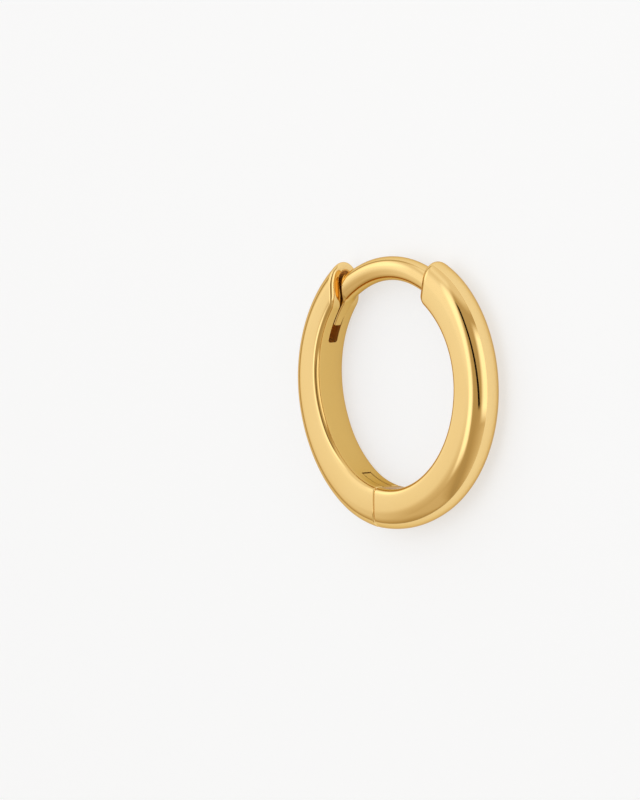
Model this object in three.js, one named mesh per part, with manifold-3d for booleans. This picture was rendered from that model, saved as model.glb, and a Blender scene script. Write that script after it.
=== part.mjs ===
import * as THREE from 'three';
import { mergeVertices } from 'three/addons/utils/BufferGeometryUtils.js';
import Module from 'manifold-3d';

// A huggie hoop earring of polished metal, lying on its side. Millimetres, +Z up.
// The axis of the hoop runs along Z. The ear post and its catch are at +Y, the hinge is at -Y,
// the front half is at +X and the back half at -X. The origin is the middle of the box round the
// earring, on the surface that it lies on.
// Angles are in degrees about the axis of the hoop, counted anticlockwise from +X.

const wasm = await Module();
wasm.setup();

// Band of the hoop
const hoopRadius = 6.24;
const bandThickness = 1.8;
const bandWidth = 1.7;
const innerEdgeRound = 0.28;
const leastEdgeRound = 0.07;

// Blunt end of the front half, where the ear post is soldered in
const noseReach = 2.04;
const noseLean = 0.36;
const noseDome = 0.16;
const noseRound = 0.44;

// Seam between the halves, beside the hinge
const seamAngle = -98.7;
const seamLean = 0.34;
const seamGap = 0.055;
const seamRound = 0.06;

// Open end of the back half, which catches the post
const catchReach = 3.45;
const catchLean = -0.12;
const catchRound = 0.26;

// Ear post, whose tip is flattened to a blade
const postDiameter = 1.05;
const shoulderLength = 0.32;
const shoulderGap = 0.12;
const bladeRootThickness = 0.52;
const bladeThickness = 0.4;
const bladeEdgeRound = 0.08;
const bladeLength = 1.36;
const bladeTipRound = 0.1;

// Slot that takes the blade
const catchGap = 0.055;
const catchHeadroom = 0.22;
const catchSpare = 0.86;
const mouthRound = 0.05;
const mouthFlare = 0.13;
const mouthDepth = 1.0;
const slotEndRound = 0.12;

// Hinge: a tongue of the front half in a slot of the back half, on a pin
const tongueWidth = 0.44;
const tongueLength = 1.47;
const tongueTip = 0.46;
const tongueSideGap = 0.05;
const tongueEndGap = 0.08;
const tongueRecess = 0.03;
const pinDiameter = 0.42;
const pinLength = 0.96;
const pinDepth = 0.55;
const pinGap = 0.03;
const pinEndGap = 0.04;

// Depth to which a soldered part runs into the other, and by which a cutter passes a face
const solderDepth = 0.7;
const cutterReach = 0.8;

// Fineness of the facets
const bandSteps = 34;
const crownSteps = 8;
const cornerSteps = 3;
const roundSteps = 4;
const postSteps = 15;
const shoulderSteps = 6;
const bladeSteps = 5;
const flareSteps = 5;
const postCorner = 4;
const slotSteps = 6;
const pinSides = 20;
const edgeStep = 4;
const arcSides = 12;
const weldDistance = 0.00001;

const boreRadius = hoopRadius - bandThickness;
const pinRadius = pinDiameter / 2;

// Radii of each half from the seam to its open end, at even steps of angle.
// outer is a share of hoopRadius and inner a share of boreRadius.
const FRONT_FORM = [
  { outer: 1.034, inner: 1.031 },
  { outer: 1.013, inner: 1.026 },
  { outer: 1.001, inner: 1.016 },
  { outer: 1.0, inner: 1.006 },
  { outer: 1.0, inner: 1.0 },
  { outer: 1.0, inner: 0.998 },
  { outer: 1.0, inner: 0.999 },
  { outer: 1.0, inner: 1.004 },
  { outer: 1.0, inner: 1.005 },
  { outer: 1.0, inner: 1.0 },
  { outer: 0.997, inner: 0.992 },
  { outer: 0.986, inner: 0.987 },
];
const BACK_FORM = [
  { outer: 1.038, inner: 1.031 },
  { outer: 1.045, inner: 1.029 },
  { outer: 1.038, inner: 1.017 },
  { outer: 1.028, inner: 1.012 },
  { outer: 1.022, inner: 1.012 },
  { outer: 1.022, inner: 1.025 },
  { outer: 1.022, inner: 1.044 },
  { outer: 1.0225, inner: 1.066 },
  { outer: 1.025, inner: 1.086 },
  { outer: 1.0275, inner: 1.106 },
];
const frontSpan = 165.2;
const backSpan = -136.8;

// The post from the blunt end of the front half to the tip of the blade, at even steps of angle.
// low is the bore side's radius as a share of boreRadius, and height a share of postDiameter.
const POST_FORM = [
  { low: 1.026, height: 1.0 },
  { low: 1.026, height: 1.0 },
  { low: 1.028, height: 1.0 },
  { low: 1.031, height: 1.0 },
  { low: 1.035, height: 1.0 },
  { low: 1.041, height: 1.0 },
  { low: 1.048, height: 1.0 },
  { low: 1.058, height: 1.0 },
  { low: 1.07, height: 0.93 },
  { low: 1.066, height: 0.89 },
  { low: 1.058, height: 0.83 },
];

// Level of the seam, as a share of the band's thickness, above which it leans to the back half
const seamBendLevel = 0.52;
const seamBendPower = 1.6;

const radians = THREE.MathUtils.degToRad;
const degrees = THREE.MathUtils.radToDeg;
const mix = THREE.MathUtils.lerp;

const arcDegrees = (length, radius) => degrees(length / radius);

const polar = (radius, angle) => new THREE.Vector2(
  radius * Math.cos(radians(angle)),
  radius * Math.sin(radians(angle)),
);

// Outer and inner radius of one half at any angle, from its form table.
function makeForm(rows, startAngle, span) {
  const points = rows.map((row) => new THREE.Vector3(row.outer, row.inner, 0));
  const curve = new THREE.CatmullRomCurve3(points, false, 'catmullrom');
  return (angle) => {
    const share = THREE.MathUtils.clamp((angle - startAngle) / span, 0, 1);
    const point = curve.getPoint(share);
    return { outer: point.x * hoopRadius, inner: point.y * boreRadius };
  };
}

const frontForm = makeForm(FRONT_FORM, seamAngle, frontSpan);
const backForm = makeForm(BACK_FORM, seamAngle, backSpan);

// Low radius and height of the post at a share of its length.
const postCurve = new THREE.CatmullRomCurve3(
  POST_FORM.map((row) => new THREE.Vector3(row.low, row.height, 0)),
  false,
  'catmullrom',
);

// Level of a radius in the band, 0 at the bore and 1 at the crown.
const levelOf = (form, radius, angle) => {
  const { outer, inner } = form(angle);
  return THREE.MathUtils.clamp((radius - inner) / (outer - inner), 0, 1);
};

const seamReach = boreRadius * Math.sin(radians(-90 - seamAngle));

// Angle of the seam at a radius: upright near the bore, then leaning to the back half.
function seamAt(form, radius) {
  const level = levelOf(form, radius, seamAngle);
  const rise = Math.max(0, (level - seamBendLevel) / (1 - seamBendLevel));
  const lean = seamLean * rise ** seamBendPower;
  return -90 - degrees(Math.asin(seamReach / radius)) - arcDegrees(lean, radius);
}

// Angle at which a radius meets a nearly upright end face at some reach from the hoop's axis.
const reachAngle = (reach, radius) => degrees(Math.acos(reach / radius));

// Angle of the blunt end of the front half. Its face leans back towards the crown and is slightly
// domed across its width.
function noseAt(radius, across) {
  const level = (radius - boreRadius) / bandThickness;
  const dome = noseDome * (2 * across / bandWidth) ** 2;
  return reachAngle(noseReach + noseLean * level + dome, radius);
}

// Angle of the open end of the back half. Its face leans back towards the crown.
function catchAt(radius) {
  const level = (radius - boreRadius) / bandThickness;
  return -180 - reachAngle(catchReach - catchLean * level, radius);
}

// One side of the band's section from the crown to the bore: a half-round crown, a flat side, a
// rounded inner edge. The points are radius and distance across the band from its middle.
function bandSide(form, angle, inset) {
  const { outer, inner } = form(angle);
  const half = bandWidth / 2 - inset;
  const crownCentre = outer - bandWidth / 2;
  const corner = Math.max(innerEdgeRound - inset, leastEdgeRound);
  const points = [];
  for (let step = 0; step < crownSteps; step += 1) {
    const turn = radians(90 * (2 * step + 1) / (2 * crownSteps - 1));
    points.push([crownCentre + half * Math.cos(turn), half * Math.sin(turn)]);
  }
  for (let step = 0; step <= cornerSteps; step += 1) {
    const turn = radians(90 * step / cornerSteps);
    const radius = inner + inset + corner * (1 - Math.sin(turn));
    points.push([radius, half - corner * (1 - Math.cos(turn))]);
  }
  return points;
}

// One side of the post's section: a circle, or a plate with rounded edges, from the crown side to
// the bore side.
function postSide(low, high, thickness, corner) {
  const half = thickness / 2;
  const round = Math.min(corner, half);
  const points = [];
  for (let step = 0; step < postCorner; step += 1) {
    const turn = radians(90 * (step + 0.5) / postCorner);
    points.push([high - round * (1 - Math.cos(turn)), half - round * (1 - Math.sin(turn))]);
  }
  const bottom = points.map(([radius, across]) => [low + high - radius, across]).reverse();
  return [...points, ...bottom];
}

// A closed body through sections that are alike on both sides of the hoop's middle plane.
// Each section lists its points on one side, from the crown to the bore, as radius, distance
// across and angle.
function loft(sections) {
  const sideCount = sections[0].length;
  const ringCount = sideCount * 2;
  const vertices = [];
  const faces = [];
  sections.forEach((side) => {
    const mirrored = side.map(([radius, across, angle]) => [radius, -across, angle]).reverse();
    [...side, ...mirrored].forEach(([radius, across, angle]) => {
      const place = polar(radius, angle);
      vertices.push(place.x, place.y, across);
    });
  });
  for (let section = 0; section + 1 < sections.length; section += 1) {
    for (let corner = 0; corner < ringCount; corner += 1) {
      const next = (corner + 1) % ringCount;
      const here = section * ringCount;
      const beyond = here + ringCount;
      faces.push(here + corner, beyond + corner, here + next);
      faces.push(here + next, beyond + corner, beyond + next);
    }
  }
  const last = (sections.length - 1) * ringCount;
  for (let corner = 0; corner + 1 < sideCount; corner += 1) {
    const across = ringCount - 1 - corner;
    faces.push(corner, corner + 1, across, corner + 1, across - 1, across);
    faces.push(last + corner, last + across, last + corner + 1);
    faces.push(last + corner + 1, last + across, last + across - 1);
  }
  const geometry = new THREE.BufferGeometry();
  geometry.setAttribute('position', new THREE.Float32BufferAttribute(vertices, 3));
  geometry.setIndex(faces);
  return geometry;
}

// Stations of a body with rounded ends. share runs from 0 to 1, the offsets move a station away
// from the first or last end, and inset draws its section in.
function stations(firstRound, lastRound, steps) {
  const list = [];
  const rounded = (radius, step) => {
    const turn = radians(90 * step / roundSteps);
    return { offset: radius * (1 - Math.cos(turn)), inset: radius * (1 - Math.sin(turn)) };
  };
  for (let step = 0; step < roundSteps; step += 1) {
    const { offset, inset } = rounded(firstRound, step);
    list.push({ share: 0, first: offset, last: lastRound, inset });
  }
  for (let step = 0; step <= steps; step += 1) {
    list.push({ share: step / steps, first: firstRound, last: lastRound, inset: 0 });
  }
  for (let step = roundSteps - 1; step >= 0; step -= 1) {
    const { offset, inset } = rounded(lastRound, step);
    list.push({ share: 1, first: firstRound, last: offset, inset });
  }
  return list;
}

// One half of the band between two end surfaces, each an angle for a radius and a place across.
function halfBand(form, firstEnd, lastEnd, firstRound, lastRound) {
  const sections = stations(firstRound, lastRound, bandSteps).map((station) => {
    const angleOf = (radius, across) => mix(
      firstEnd(radius, across) + arcDegrees(station.first, radius),
      lastEnd(radius, across) - arcDegrees(station.last, radius),
      station.share,
    );
    const rough = bandSide(form, angleOf(hoopRadius - bandThickness / 2, 0), station.inset);
    return rough.map(([roughRadius, roughAcross], index) => {
      const angle = angleOf(roughRadius, roughAcross);
      const [radius, across] = bandSide(form, angle, station.inset)[index];
      return [radius, across, angleOf(radius, across)];
    });
  });
  return loft(sections);
}

function toSolid(geometry) {
  const bare = geometry.clone();
  bare.deleteAttribute('normal');
  bare.deleteAttribute('uv');
  const merged = mergeVertices(bare, weldDistance);
  const vertProperties = new Float32Array(merged.attributes.position.array);
  const triVerts = new Uint32Array(merged.index.array);
  return new wasm.Manifold(new wasm.Mesh({ numProp: 3, vertProperties, triVerts }));
}

function toGeometry(solid) {
  const { vertProperties, triVerts } = solid.getMesh();
  const geometry = new THREE.BufferGeometry();
  geometry.setAttribute('position', new THREE.BufferAttribute(vertProperties, 3));
  geometry.setIndex(new THREE.BufferAttribute(triVerts, 1));
  geometry.computeVertexNormals();
  return geometry;
}

// A plate of even thickness about the hoop's middle plane, from an outline in that plane.
function plate(shape, thickness) {
  const geometry = new THREE.ExtrudeGeometry(shape, {
    depth: thickness,
    bevelEnabled: false,
    curveSegments: arcSides,
  });
  return geometry.translate(0, 0, -thickness / 2);
}

function rodAt(place, radius, length) {
  const geometry = new THREE.CylinderGeometry(radius, radius, length, pinSides);
  return geometry.rotateX(Math.PI / 2).translate(place.x, place.y, 0);
}

// Points along an edge that follows a radius, from one angle to another.
function edgePoints(radiusAt, fromAngle, toAngle) {
  const count = Math.max(1, Math.ceil(Math.abs(toAngle - fromAngle) / edgeStep));
  return Array.from({ length: count + 1 }, (_, step) => {
    const angle = mix(fromAngle, toAngle, step / count);
    return polar(radiusAt(angle), angle);
  });
}

const tongueEndAngle = seamAngle - arcDegrees(tongueLength, backForm(seamAngle).inner);
const pinRadial = backForm(tongueEndAngle + arcDegrees(tongueTip, hoopRadius)).outer - pinDepth;
const pinAngle = tongueEndAngle + arcDegrees(tongueTip, pinRadial);
const pinPlace = polar(pinRadial, pinAngle);

// The post's own angles, from where it leaves the front half to the blade's tip.
const postMiddle = boreRadius + postDiameter / 2;
const postStart = noseAt(postMiddle, 0);
const mouthAngle = catchAt(postMiddle) + 360;
const postEnd = mouthAngle + arcDegrees(bladeLength, postMiddle);

// Bore side and crown side of the post at an angle.
function postForm(angle) {
  const share = THREE.MathUtils.clamp((angle - postStart) / (postEnd - postStart), 0, 1);
  const row = postCurve.getPoint(share);
  const low = row.x * boreRadius;
  return { low, high: low + row.y * postDiameter };
}

// Stations of the post along its round run, its shoulder, its blade and its rounded tip, each
// as the share of that run that lies behind it.
function postStations() {
  const runs = [postSteps, shoulderSteps, bladeSteps, roundSteps];
  const list = [[0, 0, 0, 0]];
  runs.forEach((steps, run) => {
    for (let step = 1; step <= steps; step += 1) {
      list.push(runs.map((_, index) => {
        if (index === run) return step / steps;
        return index < run ? 1 : 0;
      }));
    }
  });
  return list;
}

// The ear post and its blade: a round bar bent to the hoop's curve, flattened before the catch.
// The shoulder between them runs along the open end of the back half.
function earPost() {
  const rootAngle = postStart - arcDegrees(solderDepth, postMiddle);
  const roundStart = postEnd - arcDegrees(bladeTipRound, postMiddle);
  const sections = postStations().map(([round, shoulder, blade, tip]) => {
    const turn = radians(90 * tip);
    const inset = bladeTipRound * (1 - Math.cos(turn));
    const endAngle = mix(roundStart, postEnd, Math.sin(turn));
    const flatness = THREE.MathUtils.smoothstep(shoulder, 0, 1);
    const flat = mix(bladeRootThickness, bladeThickness, blade);
    const thickness = mix(postDiameter, flat, flatness);
    const corner = mix(thickness / 2, bladeEdgeRound, flatness);
    const clearance = shoulderGap + shoulderLength * (1 - shoulder);
    const angleOf = (radius) => {
      const face = catchAt(radius) + 360 - arcDegrees(clearance, radius);
      return mix(mix(rootAngle, face, round), endAngle, blade);
    };
    const sideAt = (angle) => {
      const { low, high } = postForm(angle);
      return postSide(low + inset, high - inset, thickness - 2 * inset, corner);
    };
    return sideAt(angleOf(postMiddle)).map(([roughRadius], index) => {
      const [radius, across] = sideAt(angleOf(roughRadius))[index];
      return [radius, across, angleOf(radius)];
    });
  });
  return loft(sections);
}

// The hinge tongue: flush with the back half's bore, its far end round about the pin.
function hingeTongue() {
  const root = seamAngle + arcDegrees(solderDepth, hoopRadius);
  const innerAt = (angle) => (
    angle > seamAngle ? frontForm(angle).inner + tongueRecess : backForm(angle).inner
  );
  const outerAt = (angle) => Math.min(backForm(angle).outer, frontForm(angle).outer) - tongueRecess;
  const reach = pinRadial * Math.sin(radians(pinAngle - tongueEndAngle));
  const outer = outerAt(pinAngle);
  const cosine = (outer ** 2 - pinRadial ** 2 - reach ** 2) / (2 * pinRadial * reach);
  const arcEnd = pinAngle - degrees(Math.acos(Math.min(1, cosine)));
  const shape = new THREE.Shape(edgePoints(innerAt, root, tongueEndAngle));
  shape.absarc(pinPlace.x, pinPlace.y, reach, radians(tongueEndAngle - 90), radians(arcEnd), false);
  const meeting = pinPlace.clone().add(polar(reach, arcEnd));
  edgePoints(outerAt, degrees(meeting.angle()) - 360, root).forEach((point) => {
    shape.lineTo(point.x, point.y);
  });
  return plate(shape, tongueWidth);
}

// One side of the catch slot's section: a round floor and a straight wall down past the bore.
function slotSide(half) {
  const centre = postForm(mouthAngle).high + catchHeadroom - bladeRootThickness / 2 - catchGap;
  const points = [];
  for (let step = 0; step < slotSteps; step += 1) {
    const turn = radians(90 * (2 * step + 1) / (2 * slotSteps - 1));
    points.push([centre + half * Math.cos(turn), half * Math.sin(turn)]);
  }
  points.push([boreRadius - cutterReach, half]);
  return points;
}

// Cutter for the catch slot: open to the bore and to the open end, where it flares and its edge is
// rounded. The corners of its far end are rounded too.
function catchSlot() {
  const slotHalf = bladeThickness / 2 + catchGap;
  const endAngle = postEnd + arcDegrees(catchSpare, postMiddle);
  const mouthSection = (depth, half) => slotSide(half).map(([radius, across]) => {
    const level = Math.max(radius, boreRadius);
    return [radius, across, catchAt(level) + 360 + arcDegrees(depth, level)];
  });
  const endSection = (short, half) => slotSide(half).map(([radius, across]) => {
    const level = Math.max(radius, boreRadius);
    return [radius, across, endAngle - arcDegrees(short, level)];
  });
  const mouthHalf = slotHalf + mouthFlare;
  const sections = [mouthSection(-cutterReach, mouthHalf + mouthRound)];
  for (let step = 0; step <= roundSteps; step += 1) {
    const turn = radians(90 * step / roundSteps);
    const swell = mouthRound * (1 - Math.sin(turn));
    sections.push(mouthSection(mouthRound * (1 - Math.cos(turn)), mouthHalf + swell));
  }
  for (let step = 1; step <= flareSteps; step += 1) {
    const share = step / flareSteps;
    const swell = mouthFlare * (1 - share) ** 2;
    sections.push(mouthSection(mix(mouthRound, mouthDepth, share), slotHalf + swell));
  }
  for (let step = 0; step <= roundSteps; step += 1) {
    const turn = radians(90 * step / roundSteps);
    const short = slotEndRound * (1 - Math.sin(turn));
    sections.push(endSection(short, slotHalf - slotEndRound * (1 - Math.cos(turn))));
  }
  return loft(sections);
}

// Cutter for the hinge slot: right through the band, from the seam to its end wall.
function hingeSlot() {
  const half = tongueWidth / 2 + tongueSideGap;
  const endAngle = tongueEndAngle - arcDegrees(tongueEndGap, boreRadius);
  const openAngle = seamAngle + arcDegrees(cutterReach, hoopRadius);
  const sections = [endAngle, openAngle].map((angle) => [
    [hoopRadius + cutterReach, half, angle],
    [boreRadius - cutterReach, half, angle],
  ]);
  return loft(sections);
}

const pinBore = () => toSolid(rodAt(pinPlace, pinRadius + pinGap, pinLength + 2 * pinEndGap));

function makeBack() {
  const seamEnd = (radius) => seamAt(backForm, radius) - arcDegrees(seamGap, radius);
  const band = halfBand(backForm, catchAt, seamEnd, catchRound, seamRound);
  return toSolid(band)
    .subtract(toSolid(catchSlot()))
    .subtract(toSolid(hingeSlot()))
    .subtract(pinBore());
}

function makeFront() {
  const seamEnd = (radius) => seamAt(frontForm, radius);
  const band = halfBand(frontForm, seamEnd, noseAt, seamRound, noseRound);
  return toSolid(band)
    .add(toSolid(earPost()))
    .add(toSolid(hingeTongue()))
    .subtract(pinBore());
}

const gold = { color: 0xd9a84a, roughness: 0.12, metalness: 1.0 };
const steel = { color: 0xc9a25c, roughness: 0.3, metalness: 1.0 };

const earring = new THREE.Group();

function addPiece(name, geometry, finish) {
  const mesh = new THREE.Mesh(geometry, new THREE.MeshStandardMaterial(finish));
  mesh.name = name;
  mesh.position.z = bandWidth / 2;
  earring.add(mesh);
}

addPiece('hoop_back', toGeometry(makeBack()), gold);
addPiece('hoop_front', toGeometry(makeFront()), gold);
addPiece('hinge_pin', toGeometry(toSolid(rodAt(pinPlace, pinRadius, pinLength))), steel);

const box = new THREE.Box3().setFromObject(earring);
const middle = box.getCenter(new THREE.Vector3());
earring.position.set(-middle.x, -middle.y, -box.min.z);

export default earring;
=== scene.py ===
"""Looks of a polished huggie hoop earring that lies on its side.

The band's halves and the ear post are made by geometry node trees that follow the rule of the
earring's form: a half-round section carried round the hoop. Shapes are worked out in millimetres
in the hoop's own frame, with the hoop's axis along Z, and moved to the part's frame in metres
when they are finished.
"""
import enum
import logging
import math
from collections.abc import Callable, Sequence
from dataclasses import dataclass, field

import bmesh
import bpy
from bpy.types import Material, Mesh, Node, NodeSocket, NodeTree, Object
from mathutils import Matrix, Vector


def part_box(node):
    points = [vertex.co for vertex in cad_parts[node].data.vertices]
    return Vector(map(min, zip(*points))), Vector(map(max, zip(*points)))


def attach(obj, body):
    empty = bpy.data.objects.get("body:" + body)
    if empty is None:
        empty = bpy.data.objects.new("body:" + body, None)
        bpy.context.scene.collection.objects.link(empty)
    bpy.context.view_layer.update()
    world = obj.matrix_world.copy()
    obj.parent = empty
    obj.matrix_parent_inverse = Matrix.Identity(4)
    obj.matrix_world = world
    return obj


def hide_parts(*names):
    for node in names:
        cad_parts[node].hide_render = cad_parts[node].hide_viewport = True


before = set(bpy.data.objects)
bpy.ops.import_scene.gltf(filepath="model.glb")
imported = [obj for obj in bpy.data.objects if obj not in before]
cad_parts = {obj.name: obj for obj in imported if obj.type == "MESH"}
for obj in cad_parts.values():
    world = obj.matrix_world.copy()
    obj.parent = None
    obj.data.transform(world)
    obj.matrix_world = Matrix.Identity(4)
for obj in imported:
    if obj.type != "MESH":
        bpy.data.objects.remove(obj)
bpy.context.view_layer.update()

log = logging.getLogger("earring")

MM = 0.001
QUARTER = math.pi / 2
UPRIGHT = Vector((0.0, 1.0, 0.0))
WHITE = (1.0, 1.0, 1.0)
# Lengths in millimetres under which points are welded and faces are dropped.
WELD = 0.0005
SLIVER = 0.0002
# Room above and below the values of a float curve.
CURVE_MARGIN = 0.1

Value = float | tuple[float, ...]


class Body(enum.Enum):
    """The moving bodies of the earring."""

    BACK = "back"
    FRONT = "front"


class Join(enum.Enum):
    """What a tool does to the body that it meets."""

    SOLDER = "UNION"
    CUT = "DIFFERENCE"


def feed(socket: NodeSocket, value: "Field | Value") -> None:
    """Links a field into a socket, or sets the socket to a value.

    Args:
        socket: The input that takes the value.
        value: A field of the same tree, or a plain number, vector or colour.
    """
    if isinstance(value, Field):
        socket.id_data.links.new(value.socket, socket)
    else:
        socket.default_value = value


@dataclass(frozen=True)
class Field:
    """An output in a node tree, on which arithmetic adds Math nodes."""

    socket: NodeSocket

    def math(self, operation: str, *others: "Field | float", clamp: bool = False) -> "Field":
        """Adds a Math node with this field first.

        Args:
            operation: Name of the Math node's operation.
            others: The node's other inputs.
            clamp: Whether the result is held between 0 and 1.

        Returns:
            The node's result.
        """
        node = self.socket.id_data.nodes.new("ShaderNodeMath")
        node.operation = operation
        node.use_clamp = clamp
        for index, value in enumerate((self, *others)):
            feed(node.inputs[index], value)
        return Field(node.outputs[0])

    def __add__(self, other: "Field | float") -> "Field":
        """Sum of two values."""
        return self.math("ADD", other)

    __radd__ = __add__

    def __sub__(self, other: "Field | float") -> "Field":
        """Difference of two values."""
        return self.math("SUBTRACT", other)

    def __rsub__(self, other: float) -> "Field":
        """A number less this field."""
        return self.math("MULTIPLY_ADD", -1.0, other)

    def __mul__(self, other: "Field | float") -> "Field":
        """Product of two values."""
        return self.math("MULTIPLY", other)

    __rmul__ = __mul__

    def __truediv__(self, other: "Field | float") -> "Field":
        """Quotient of two values."""
        return self.math("DIVIDE", other)

    def __rtruediv__(self, other: float) -> "Field":
        """A number divided by this field."""
        return self.math("POWER", -1.0) * other

    def __pow__(self, power: float) -> "Field":
        """This field, which isn't negative, raised to a power."""
        return self.math("POWER", power)

    def cos(self) -> "Field":
        """Cosine of an angle in radians."""
        return self.math("COSINE")

    def sin(self) -> "Field":
        """Sine of an angle in radians."""
        return self.math("SINE")

    def arccos(self) -> "Field":
        """Angle in radians for a cosine."""
        return self.math("ARCCOSINE")

    def span(self, low: float, high: float) -> "Field":
        """How far the field has come from low to high, held between 0 and 1."""
        return (self - low).math("DIVIDE", high - low, clamp=True)


def spline(rows: Sequence[float], share: float) -> float:
    """A smooth curve through evenly spaced rows.

    Args:
        rows: The values from share 0 to share 1.
        share: Where on the curve the value is read.

    Returns:
        The value at that share.
    """
    place = min(max(share, 0.0), 1.0) * (len(rows) - 1)
    row = min(int(place), len(rows) - 2)
    rest = place - row
    here, after = rows[row], rows[row + 1]
    before = rows[row - 1] if row > 0 else 2 * here - after
    beyond = rows[row + 2] if row + 2 < len(rows) else 2 * after - here
    leave = (after - before) / 2
    arrive = (beyond - here) / 2
    square = -3 * here + 3 * after - 2 * leave - arrive
    cube = 2 * here - 2 * after + leave + arrive
    return here + rest * (leave + rest * (square + rest * cube))


def mix(first: "Field | float", last: "Field | float", share: Field) -> Field:
    """The value at a share of the way from first to last."""
    return first + share * (last - first)


@dataclass(frozen=True)
class Place:
    """A point of the earring before it is turned round the hoop's axis, in millimetres."""

    radius: Field
    across: Field
    angle: Field


@dataclass
class Tree:
    """A geometry node tree under construction, which bends a grid into a closed body.

    u runs from 0 to 1 along the body and v round its section. Tables are read at fineness points
    for each of their rows.
    """

    name: str
    along: int
    around: int
    fineness: int = 4
    tree: NodeTree = field(init=False)
    entry: Node = field(init=False)
    grid: Node = field(init=False)
    u: Field = field(init=False)
    v: Field = field(init=False)

    def __post_init__(self) -> None:
        """Makes the tree's interface and its grid."""
        self.tree = bpy.data.node_groups.new(self.name, "GeometryNodeTree")
        interface = self.tree.interface
        interface.new_socket("Geometry", in_out="INPUT", socket_type="NodeSocketGeometry")
        interface.new_socket("Geometry", in_out="OUTPUT", socket_type="NodeSocketGeometry")
        for label, count in (("Stations", self.along), ("Points", self.around)):
            socket = interface.new_socket(label, in_out="INPUT", socket_type="NodeSocketInt")
            socket.default_value = count
        skin = interface.new_socket("Skin", in_out="INPUT", socket_type="NodeSocketMaterial")
        skin.description = "Finish of the whole body"
        self.entry = self.tree.nodes.new("NodeGroupInput")
        self.grid = self.tree.nodes.new("GeometryNodeMeshGrid")
        self.grid.inputs["Size X"].default_value = 1.0
        self.grid.inputs["Size Y"].default_value = 1.0
        self.link(self.entry.outputs["Stations"], self.grid.inputs["Vertices X"])
        self.link(self.entry.outputs["Points"], self.grid.inputs["Vertices Y"])
        position = self.tree.nodes.new("GeometryNodeInputPosition")
        parts = self.tree.nodes.new("ShaderNodeSeparateXYZ")
        self.link(position.outputs[0], parts.inputs[0])
        self.u = Field(parts.outputs["X"]) + 0.5
        self.v = Field(parts.outputs["Y"]) + 0.5

    def link(self, source: NodeSocket, target: NodeSocket) -> None:
        """Joins two sockets."""
        self.tree.links.new(source, target)

    def size(self, label: str, value: float) -> Field:
        """Adds a named size to the tree's inputs.

        Args:
            label: The input's name.
            value: Its default in millimetres.

        Returns:
            The size as a field.
        """
        interface = self.tree.interface
        socket = interface.new_socket(label, in_out="INPUT", socket_type="NodeSocketFloat")
        socket.default_value = value
        return Field(self.entry.outputs[label])

    def table(self, rows: Sequence[float], share: Field) -> Field:
        """A smooth curve through evenly spaced rows.

        Args:
            rows: The values from share 0 to share 1.
            share: Where on the curve the value is read.

        Returns:
            The value at that share.
        """
        low = min(rows) - CURVE_MARGIN
        high = max(rows) + CURVE_MARGIN
        node = self.tree.nodes.new("ShaderNodeFloatCurve")
        curve = node.mapping.curves[0]
        last = (len(rows) - 1) * self.fineness
        while len(curve.points) <= last:
            curve.points.new(0.5, 0.5)
        for index in range(last + 1):
            level = (spline(rows, index / last) - low) / (high - low)
            curve.points[index].location = (index / last, level)
        node.mapping.update()
        feed(node.inputs["Value"], share)
        return low + (high - low) * Field(node.outputs[0])

    def close(self, place: Place) -> NodeTree:
        """Moves the grid to its place, welds its edges and sets its finish.

        Args:
            place: Where each point of the grid goes.

        Returns:
            The finished tree.
        """
        nodes = self.tree.nodes
        point = nodes.new("ShaderNodeCombineXYZ")
        feed(point.inputs["X"], place.radius * place.angle.cos())
        feed(point.inputs["Y"], place.radius * place.angle.sin())
        feed(point.inputs["Z"], place.across)
        move, weld, real, finish, leave = (nodes.new(kind) for kind in (
            "GeometryNodeSetPosition", "GeometryNodeMergeByDistance",
            "GeometryNodeRealizeInstances", "GeometryNodeSetMaterial", "NodeGroupOutput",
        ))
        weld.inputs["Distance"].default_value = WELD
        self.link(point.outputs[0], move.inputs["Position"])
        self.link(self.entry.outputs["Skin"], finish.inputs["Material"])
        steps = (self.grid, move, weld, real, finish, leave)
        for here, after in zip(steps, steps[1:]):
            self.link(here.outputs[0], after.inputs[0])
        return self.tree


def grow(tree: NodeTree, skin: Material) -> Object:
    """Runs a node tree once and keeps its result as a plain mesh.

    Args:
        tree: The tree that makes the body.
        skin: The finish for its Skin input.

    Returns:
        A new object with the body's mesh, in millimetres.
    """
    seed = bpy.data.objects.new(tree.name, bpy.data.meshes.new(tree.name + "_seed"))
    bpy.context.scene.collection.objects.link(seed)
    modifier = seed.modifiers.new("form", "NODES")
    modifier.node_group = tree
    for item in tree.interface.items_tree:
        if item.item_type == "SOCKET" and item.in_out == "INPUT" and item.name == "Skin":
            modifier[item.identifier] = skin
    seed.update_tag()
    depsgraph = bpy.context.evaluated_depsgraph_get()
    mesh = bpy.data.meshes.new_from_object(seed.evaluated_get(depsgraph), depsgraph=depsgraph)
    mesh.name = tree.name
    bpy.data.objects.remove(seed)
    return body_of(mesh)


def body_of(mesh: Mesh) -> Object:
    """Puts a closed mesh in the scene, its faces turned outwards and those of no area dropped.

    Args:
        mesh: The closed mesh, which is changed.

    Returns:
        A new object with the mesh and its name.
    """
    work = bmesh.new()
    work.from_mesh(mesh)
    bmesh.ops.dissolve_degenerate(work, dist=SLIVER, edges=work.edges)
    bmesh.ops.recalc_face_normals(work, faces=work.faces)
    if work.calc_volume(signed=True) < 0:
        bmesh.ops.reverse_faces(work, faces=work.faces)
    work.to_mesh(mesh)
    work.free()
    body = bpy.data.objects.new(mesh.name, mesh)
    bpy.context.scene.collection.objects.link(body)
    return body


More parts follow.
